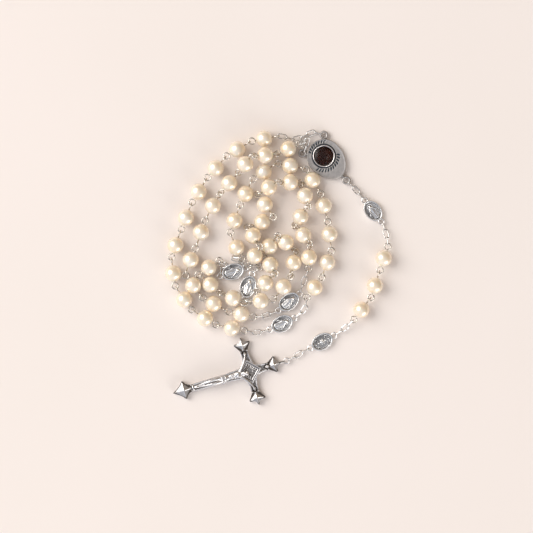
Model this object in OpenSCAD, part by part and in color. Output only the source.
// Five-decade rosary laid down in a loose pile, with its pendant stretched round one side.
// Millimetres, +Z up. It rests on z = 0, with the origin under the middle of its outline.

/* [Pearls] */
// Diameter of every pearl
pearl_d = 6; // [5.9:0.05:6]
// Diameter of the hole through each pearl
bore_d = 0.6; // [0.56:0.02:0.64]

/* [Wire] */
// Thickness of the wire in a pin's eye
eye_wire_d = 0.5; // [0.44:0.02:0.52]
// Thickness of a pin's straight stem inside the pearl
stem_d = 0.44; // [0.4:0.02:0.48]
// Thickness of the wire in a chain link
link_wire_d = 0.45; // [0.4:0.05:0.5]
// Length of a chain link from wire centre to wire centre
link_len = 3.4; // [3.3:0.05:3.5]
// Width of a chain link from wire centre to wire centre
link_w = 1.7; // [1.5:0.1:1.8]

/* [Oval medals] */
// Length of a medal's oval body
medal_len = 8.4; // [7.8:0.1:8.6]
// Width of a medal's oval body
medal_w = 6; // [5:0.1:6.4]
// Thickness of a medal
medal_t = 1.7; // [1.5:0.1:2]

/* [Centerpiece] */
// Length of the egg-shaped plate
plate_len = 16; // [15:0.5:17]
// Greatest width of the plate
plate_w = 12.8; // [12:0.2:13.5]
// Thickness of the plate
plate_t = 2; // [1.8:0.1:2.4]
// Outer diameter of the bright ring round the inset
bezel_d = 8.2; // [7.6:0.1:8.6]

/* [Crucifix] */
// Length from the head end to the foot tip
cross_len = 41; // [39:0.5:42]
// Span from one arm tip to the other
cross_span = 25.4; // [24:0.2:26]
// Thickness of the beams
cross_t = 2; // [1.8:0.1:2.2]

/* [Hidden] */
$fn = 48;

// An eye's ring, measured to the middle of its wire
eye_r = 1.15;
// From a pearl's centre to the centre of each eye, with a little air between eye and pearl
eye_reach = pearl_d / 2 + eye_r + eye_wire_d / 2 + 0.15;
// From a link's centre to the wire that runs through a flat link's end
flat_reach = link_len / 2 - 0.6;
// Height of the flat loops that the chain links hang on
loop_z = 1.2;
// A cast loop's radius to the middle of its wire, and that wire's thickness
loop_r = 1;
loop_wire_d = 0.5;
// How far from a cast loop's centre the link's wire passes through it
loop_play = 0.4;
// The centerpiece's three loops are heavier
plate_loop_r = 1.2;
plate_loop_wire_d = 0.8;
medal_loop_x = medal_len / 2 + 0.75;
medal_step = 2 * (medal_loop_x + loop_play);

// Where each decade's eyes meet, chosen by hand: the pearls sit between these points
DECADE_1 = [
    [0.5, 48, 3], [-10, 46, 3], [-19, 40.5, 3], [-26, 32.5, 3], [-31.5, 23.5, 3], [-35.5, 13.5, 3],
    [-39, 3.5, 3], [-37.5, -7, 3], [-31.5, -15.5, 3], [-22.5, -21, 3], [-12, -23, 3]
];
DECADE_2 = [
    [10.5, -11, 3], [16, -3.5, 3], [19.5, 6.5, 3], [18, 17, 3], [15.5, 27, 3], [10, 36, 3],
    [-0.5, 38, 3], [-9.5, 32, 3], [-14, 22.5, 3], [-17.5, 12.5, 3], [-13.5, 3.5, 3]
];
DECADE_3 = [
    [-21.5, 2.5, 3], [-29, -2.5, 3], [-21.5, -9, 3], [-12, -13, 6], [-1.5, -11.5, 6],
    [4.5, -3.5, 5], [6.5, 6, 1.5], [0, 11.5, 6.5], [-5.5, 5, 1.5], [-1, -2, 7], [-7.5, -8.5, 3]
];
DECADE_4 = [
    [-10.5, 1, 2.5], [-6.5, 7.5, 7], [-11, 14.5, 2], [-1.5, 18.5, 4], [-7.5, 26.5, 2.5],
    [-0.5, 31, 7.5], [8, 31, 2.5], [11, 22.5, 6.5], [6, 15.5, 1.5], [11.5, 9, 6.5], [11, -0.5, 2.5]
];
DECADE_5 = [
    [-8.5, -18, 3], [-18.5, -16, 3], [-27.5, -11, 3], [-34, -2.5, 3], [-30, 7.5, 3],
    [-26.5, 17.5, 3], [-21.5, 26.5, 4], [-15, 34, 2.5], [-9.5, 40.5, 8.5], [-1.5, 41, 3],
    [7.5, 45, 3]
];

// Loop medals: middle and turn
MEDALS = [[[1.5, -20.5], 25], [[-16.5, -1.5], 18], [[-11, -7], 72], [[4, -12.5], 38]];

// Centerpiece: middle of the inset, and the way its lower end points
inset_at = [16.7, 40.7];
plate_turn = -46;
// The loops in the plate's own frame, +X towards its lower end, from the inset's middle
UPPER_LOOPS = [[-5.6, 5.4], [-6.2, -4.9]];
lower_loop = [12.1, -0.2];
// From the inset's middle back to the plate's upper edge
inset_back = 6.2;

// The chain from the centerpiece to the first decade, where its links meet
CHAIN_START = [
    [16.4, 48.7, 1.2], [13.1, 49.5, 1.2], [11, 48.7, 1.3], [7.9, 47.4, 1.5], [5.9, 46.8, 1.8],
    [2.6, 47.5, 2.5], [0.5, 48, 3], [0, 0, 1]
];

// The pendant, piece by piece: u is an upright link, f a flat link, m a medal, a the first pin,
// p a further pin and c the crucifix, with the way each points and the height where it starts
PENDANT = [
    ["u", -45, 1.2], ["f", -48, 1.2], ["u", -50, 1.2], ["m", -52, 1.2],
    ["u", -70, 1.2], ["f", -75, 1.8], ["u", -85, 2.2],
    ["a", -108, 3], ["p", -108, 3], ["p", -128, 3],
    ["u", -135, 3], ["f", -140, 2.4], ["u", -145, 1.8], ["m", -152, 1.2],
    ["u", -153, 1.2], ["f", -150, 1.2], ["u", -150, 1.2], ["c", -164, 1.2]
];
pendant_start = [25.35, 31.55];
// Length of a pendant pin from one meeting point to the next, first pin and others
first_pin_step = 9.6;
pin_step = 10.2;

// The crucifix along X: from its loop to the head end, and on to the crossing
head_x = 2.6;
head_reach = 11.9;
crossing_x = head_x + head_reach;
beam_w = 3.4;
limb_flare = 7.4;
// Side of the square frame round the crossing
nimbus = 6.4;
cross_neck_d = 1.1;

function unit(v) = v / norm(v);
function flat_of(v) = [v.x, v.y];
function turned(p, a) = [p.x * cos(a) - p.y * sin(a), p.x * sin(a) + p.y * cos(a)];
function at_height(p, z) = [p.x, p.y, z];

// The pearl on segment i of a route. The first pin of a decade may have two flat eyes.
function pearl_at(route, i, first_flat) =
    let (a = route[i], b = route[i + 1])
    (first_flat && i == 0) ? (a + b) / 2 : a + unit(b - a) * (eye_reach + eye_r);

function heading(route, i) = unit(route[i + 1] - route[i]);

// The direction nearest to straight up that is square to u
function upward(u) = unit([0, 0, 1] - u.z * u);

// The line that two pins bend about where they meet. The first one's eye faces along it, and
// the next one's eye stands across that.
function hinge_line(route, i) =
    i == 0 ? upward(heading(route, 0))
    : i == 10 ? upward(heading(route, 9))
    : let (bend = cross(heading(route, i - 1), heading(route, i)))
      norm(bend) > 0.3 ? unit(bend) : upward(unit(heading(route, i - 1) + heading(route, i)));

// A medal's two loops
function medal_loop(m, side) =
    at_height(m[0] + side * medal_loop_x * [cos(m[1]), sin(m[1])], loop_z);

// The wire that hangs in a loop lies on the side where the chain comes from
function hung(loop, towards) =
    loop + loop_play * at_height(unit(flat_of(towards - loop)), 0);

// Three links between two points: upright, flat, upright. They fold to one side when there is
// slack, and tilt is how steeply the fold rises. gap is the play along the flat link.
function fold(p, q, side, tilt, gap) =
    let (
        along = unit(q - p),
        level_side = side * unit([-along.y, along.x, 0]),
        out = unit(level_side * cos(tilt) + cross(along, level_side) * side * sin(tilt)),
        d = norm(q - p),
        play = max(gap, d - 2 * link_len),
        half = (d - play) / 2,
        rise = sqrt(max(0, pow(link_len, 2) - half * half))
    )
    [p, p + along * half + out * rise, q - along * half + out * rise, q, cross(along, out)];

function from_loop(loop, end, side, tilt, gap) = fold(hung(loop, end), end, side, tilt, gap);

// Three links laid through two points chosen by hand, the flat one facing n
function laid(loop, p, q, end, n) = [hung(loop, p), p, q, end, n];

plate_loop_1 = at_height(inset_at + turned(UPPER_LOOPS[1], plate_turn), loop_z);

CHAINS = [
    CHAIN_START,
    from_loop(medal_loop(MEDALS[0], -1), DECADE_1[10], 1, 0, 2.2),
    from_loop(medal_loop(MEDALS[0], 1), DECADE_2[0], -1, 0, 2.2),
    laid(medal_loop(MEDALS[1], 1), [-14.6, 2.8, 1.4], [-16.4, 3.4, 2], DECADE_2[10],
         [0, 0.2, 1]),
    laid(medal_loop(MEDALS[1], -1), [-20.9, 0.6, 1.9], [-19, 1, 2.5], DECADE_3[0],
         [0, -0.3, 1]),
    from_loop(medal_loop(MEDALS[2], -1), DECADE_3[10], -1, 0, 1),
    from_loop(medal_loop(MEDALS[2], 1), DECADE_4[0], -1, 0, 1),
    from_loop(medal_loop(MEDALS[3], 1), DECADE_4[10], -1, 0, 2),
    from_loop(medal_loop(MEDALS[3], -1), DECADE_5[0], 1, 0, 2),
    laid(plate_loop_1, [10.2, 44.9, 1.9], [10.6, 46.6, 2.6], DECADE_5[10], [0.3, -0.4, 0.9])
];

// How far each kind of pendant piece carries the chain
function step_of(kind) =
    kind == "u" ? link_len
    : kind == "f" ? 2 * flat_reach
    : kind == "m" ? medal_step
    : kind == "a" ? first_pin_step
    : pin_step;
function level(k) = PENDANT[min(k, len(PENDANT) - 1)][2];
function drop(k) = level(k + 1) - level(k);
function way(k) =
    let (run = sqrt(pow(step_of(PENDANT[k][0]), 2) - pow(drop(k), 2)), h = PENDANT[k][1])
    [run * cos(h), run * sin(h), drop(k)];
function meet(k) = k == 0 ? at_height(pendant_start, level(0)) : meet(k - 1) + way(k - 1);

// The outline's middle, so that the origin lies under it
all_pearls = concat(
    [for (i = [0:9]) pearl_at(DECADE_1, i, false)],
    [for (k = [7:9]) meet(k) + unit(way(k)) * step_of(PENDANT[k][0]) / 2]
);
cross_arm_low = flat_of(meet(17)) + turned([crossing_x, cross_span / 2], PENDANT[17][1]);
x_low = min([for (p = all_pearls) p.x]) - pearl_d / 2;
x_high = max(meet(7).x + 1.5, max([for (p = all_pearls) p.x]) + pearl_d / 2);
y_high = CHAIN_START[1].y + 1;
y_low = cross_arm_low.y;
centring = [-(x_low + x_high) / 2, -(y_low + y_high) / 2, 0];

silver = [0.78, 0.77, 0.75];
pewter = [0.6, 0.6, 0.6];
ivory = [0.95, 0.9, 0.82];

// Turns the child's +X along v, at p
module aim(p, v, roll = 0) {
    translate(p)
        rotate([0, -atan2(v.z, norm(flat_of(v))), atan2(v.y, v.x)])
            rotate([roll, 0, 0])
                children();
}

module torus(r, wire_d) {
    rotate_extrude()
        translate([r, 0])
            circle(d = wire_d);
}

module half_torus(r, wire_d) {
    rotate([0, 0, -90])
        rotate_extrude(angle = 180)
            translate([r, 0])
                circle(d = wire_d);
}

// A long ring lying flat, its length along X
module link() {
    half = (link_len - link_w) / 2;
    for (side = [0, 1])
        rotate([0, 0, 180 * side]) {
            translate([half, 0, 0])
                half_torus(link_w / 2, link_wire_d);
            translate([-half, link_w / 2, 0])
                rotate([0, 90, 0])
                    cylinder(d = link_wire_d, h = 2 * half);
        }
}

// A link in the middle between a and b, its flat side facing n
module link_between(a, b, n) {
    x = unit(b - a);
    z = unit(n - (n * x) * x);
    y = cross(z, x);
    c = (a + b) / 2;
    multmatrix([[x.x, y.x, z.x, c.x], [x.y, y.y, z.y, c.y], [x.z, y.z, z.z, c.z]])
        link();
}

// Links along the points before the last. The last is the direction that the flat ones face.
module chain(points) {
    n = points[len(points) - 1];
    color(silver)
        for (i = [0:len(points) - 3])
            let (u = points[i + 1] - points[i])
                link_between(points[i], points[i + 1], i % 2 == 0 ? cross(u, n) : n);
}

// A ring round p, its flat side facing n
module ring_facing(p, n, r, wire_d) {
    translate(p)
        rotate([0, acos(n.z / norm(n)), atan2(n.y, n.x)])
            torus(r, wire_d);
}

// A straight stem through the pearl's middle, along u, with an eye at each end
module eye_pin(p, u, facing_in, facing_out) {
    stem = 2 * (eye_reach - eye_r);
    aim(p - u * stem / 2, u)
        rotate([0, 90, 0])
            cylinder(d = stem_d, h = stem);
    ring_facing(p - u * eye_reach, facing_in, eye_r, eye_wire_d);
    ring_facing(p + u * eye_reach, facing_out, eye_r, eye_wire_d);
}

// A pearl with its hole along X
module pearl() {
    rotate([0, 90, 0])
        rotate_extrude()
            intersection() {
                circle(d = pearl_d);
                translate([bore_d / 2, -pearl_d])
                    square(2 * pearl_d);
            }
}

module decade_pearls(route, first_flat) {
    color(ivory)
        for (i = [0:9])
            aim(pearl_at(route, i, first_flat), route[i + 1] - route[i])
                pearl();
}

module decade_pins(route, first_flat) {
    color(silver)
        for (i = [0:9])
            let (u = heading(route, i))
                eye_pin(
                    pearl_at(route, i, first_flat),
                    u,
                    first_flat && i == 0 ? upward(u) : cross(u, hinge_line(route, i)),
                    hinge_line(route, i + 1)
                );
}

module oval(length, width) {
    polygon([for (a = [0:7.5:359]) [length / 2 * cos(a), width / 2 * sin(a)]]);
}

// An oval medal along X, lying on z = 0, with a cast loop at each end
module medal() {
    recess = 0.25;
    rim_w = 0.5;
    color(pewter) {
        difference() {
            linear_extrude(medal_t)
                oval(medal_len, medal_w);
            translate([0, 0, medal_t - recess])
                linear_extrude(1)
                    oval(medal_len - 2 * rim_w, medal_w - 2 * rim_w);
        }
        translate([0, 0, medal_t - recess])
            linear_extrude(recess + 0.2)
                oval(medal_len * 0.6, medal_w * 0.3);
        for (side = [-1, 1])
            translate([side * medal_loop_x, 0, loop_z])
                torus(loop_r, loop_wire_d);
    }
}

module loop_medal(m) {
    translate(at_height(m[0], 0))
        rotate(m[1])
            medal();
}

// The egg outline, its wide end up the -X side
function egg(a) =
    let (x = cos(a), y = sin(a))
    [plate_len / 2 * x, plate_w / 2 * y * (1 - 0.12 * x)];

module on_plate() {
    translate(at_height(inset_at, 0))
        rotate(plate_turn)
            children();
}

bezel_seat = 1;
bezel_wall = 0.55;
bezel_top = plate_t + 0.6;
slip = 0.05;

// A loop on a short neck that runs into the plate
module plate_loop(p) {
    neck = [2, 1.2, 0.8];
    towards = [plate_len / 2 - inset_back, 0] - p;
    translate(at_height(p, loop_z)) {
        torus(plate_loop_r, plate_loop_wire_d);
        rotate(atan2(towards.y, towards.x))
            translate([plate_loop_r + neck.x / 2, 0, 0])
                cube(neck, center = true);
    }
}

module centerpiece_plate() {
    color(pewter)
        on_plate() {
            difference() {
                translate([plate_len / 2 - inset_back, 0, 0])
                    linear_extrude(plate_t)
                        polygon([for (a = [0:5:359]) egg(a)]);
                translate([0, 0, bezel_seat])
                    cylinder(d = bezel_d, h = plate_t);
            }
            for (p = concat(UPPER_LOOPS, [lower_loop]))
                plate_loop(p);
        }
}

module centerpiece_bezel() {
    color(silver)
        on_plate()
            translate([0, 0, bezel_seat])
                difference() {
                    cylinder(d = bezel_d - 2 * slip, h = bezel_top - bezel_seat);
                    translate([0, 0, -1])
                        cylinder(d = bezel_d - 2 * bezel_wall, h = 5);
                }
}

soil_r = bezel_d / 2 - bezel_wall - slip;
soil_top = plate_t + 0.1;
dome_rise = 0.9;

module centerpiece_soil_fill() {
    color([0.14, 0.06, 0.03])
        on_plate()
            translate([0, 0, bezel_seat])
                cylinder(r = soil_r, h = soil_top - bezel_seat);
}

module centerpiece_dome() {
    dome_r = (pow(soil_r, 2) + pow(dome_rise, 2)) / (2 * dome_rise);
    color([0.6, 0.5, 0.45, 0.4])
        on_plate()
            intersection() {
                translate([0, 0, soil_top + dome_rise - dome_r])
                    sphere(r = dome_r, $fn = 96);
                translate([0, 0, soil_top])
                    cylinder(r = soil_r, h = 2);
            }
}

// One piece of the pendant in its place
module pendant_piece(k) {
    kind = PENDANT[k][0];
    u = unit(way(k));
    up = upward(u);
    color(silver)
        if (kind == "u")
            link_between(meet(k), meet(k + 1), cross(u, up));
        else if (kind == "f")
            link_between(meet(k), meet(k + 1), up);
        else
            eye_pin(pendant_middle(k), u, kind == "p" ? cross(u, up) : up, up);
}

function pendant_middle(k) =
    PENDANT[k][0] == "p" ? meet(k) + unit(way(k)) * (eye_reach + eye_r) : meet(k) + way(k) / 2;

module pendant_medal(k) {
    middle = meet(k) + way(k) / 2;
    translate(at_height(middle, 0))
        rotate(PENDANT[k][1])
            medal();
}

module pendant_pearl(k) {
    color(ivory)
        aim(pendant_middle(k), way(k))
            pearl();
}

// One limb's outline from the crossing outwards, flaring to a pointed tip
module limb(reach) {
    edge = [
        [0, beam_w / 2], [reach - 7, beam_w / 2 * 0.85], [reach - 5, limb_flare / 2],
        [reach - 2.6, limb_flare / 2 * 0.75]
    ];
    polygon(concat(
        edge,
        [[reach, 0]],
        [for (i = [3:-1:0]) [edge[i].x, -edge[i].y]]
    ));
}

module on_cross() {
    translate(at_height(meet(17), 0))
        rotate(PENDANT[17][1])
            children();
}

module crucifix_cross() {
    color(pewter)
        on_cross() {
            translate([crossing_x, 0, 0])
                linear_extrude(cross_t)
                    union() {
                        limb(cross_len - head_reach);
                        rotate(180)
                            limb(head_reach);
                        rotate(90)
                            limb(cross_span / 2);
                        rotate(-90)
                            limb(cross_span / 2);
                        rotate(45)
                            square(nimbus, center = true);
                    }
            translate([loop_play, 0, loop_z])
                torus(loop_r, loop_wire_d);
            translate([loop_play + loop_r, 0, loop_z])
                rotate([0, 90, 0])
                    cylinder(d = cross_neck_d, h = head_x - loop_r);
        }
}

// The corpus lies on the cross, head towards the loop
module crucifix_corpus() {
    head_d = 2;
    arm = [[0, -0.5], [8.6, -0.3], [8.6, 0.3], [0, 0.5]];
    color(silver)
        on_cross()
            translate([crossing_x, 0, cross_t]) {
                translate([-1.2, 0, 0])
                    cylinder(d = head_d, h = 1.8);
                linear_extrude(1)
                    union() {
                        polygon([
                            [-0.6, -1.4], [5.5, -0.9], [7.5, -1.2], [15.5, -0.5],
                            [15.5, 0.5], [7.5, 1.2], [5.5, 0.9], [-0.6, 1.4]
                        ]);
                        for (side = [-1, 1])
                            rotate(side * 97)
                                polygon(arm);
                    }
            }
}

translate(centring) {
    centerpiece_plate();
    centerpiece_bezel();
    centerpiece_soil_fill();
    centerpiece_dome();
    decade_pearls(DECADE_1, false);  // decade_1_pearls
    decade_pearls(DECADE_2, true);  // decade_2_pearls
    decade_pearls(DECADE_3, true);  // decade_3_pearls
    decade_pearls(DECADE_4, true);  // decade_4_pearls
    decade_pearls(DECADE_5, true);  // decade_5_pearls
    decade_pins(DECADE_1, false);  // decade_1_eye_pins
    decade_pins(DECADE_2, true);  // decade_2_eye_pins
    decade_pins(DECADE_3, true);  // decade_3_eye_pins
    decade_pins(DECADE_4, true);  // decade_4_eye_pins
    decade_pins(DECADE_5, true);  // decade_5_eye_pins
    loop_medal(MEDALS[0]);  // loop_medal_1
    loop_medal(MEDALS[1]);  // loop_medal_2
    loop_medal(MEDALS[2]);  // loop_medal_3
    loop_medal(MEDALS[3]);  // loop_medal_4
    chain(CHAINS[0]);  // chain_centerpiece_to_decade_1
    chain(CHAINS[1]);  // chain_decade_1_to_medal_1
    chain(CHAINS[2]);  // chain_medal_1_to_decade_2
    chain(CHAINS[3]);  // chain_decade_2_to_medal_2
    chain(CHAINS[4]);  // chain_medal_2_to_decade_3
    chain(CHAINS[5]);  // chain_decade_3_to_medal_3
    chain(CHAINS[6]);  // chain_medal_3_to_decade_4
    chain(CHAINS[7]);  // chain_decade_4_to_medal_4
    chain(CHAINS[8]);  // chain_medal_4_to_decade_5
    chain(CHAINS[9]);  // chain_decade_5_to_centerpiece
    pendant_piece(0);  // pendant_link_1
    pendant_piece(1);  // pendant_link_2
    pendant_piece(2);  // pendant_link_3
    pendant_medal(3);  // pendant_upper_medal
    pendant_piece(4);  // pendant_link_4
    pendant_piece(5);  // pendant_link_5
    pendant_piece(6);  // pendant_link_6
    pendant_piece(7);  // pendant_eye_pin_1
    pendant_piece(8);  // pendant_eye_pin_2
    pendant_piece(9);  // pendant_eye_pin_3
    pendant_pearl(7);  // pendant_pearl_1
    pendant_pearl(8);  // pendant_pearl_2
    pendant_pearl(9);  // pendant_pearl_3
    pendant_piece(10);  // pendant_link_7
    pendant_piece(11);  // pendant_link_8
    pendant_piece(12);  // pendant_link_9
    pendant_medal(13);  // pendant_lower_medal
    pendant_piece(14);  // pendant_link_10
    pendant_piece(15);  // pendant_link_11
    pendant_piece(16);  // pendant_link_12
    crucifix_cross();
    crucifix_corpus();
}
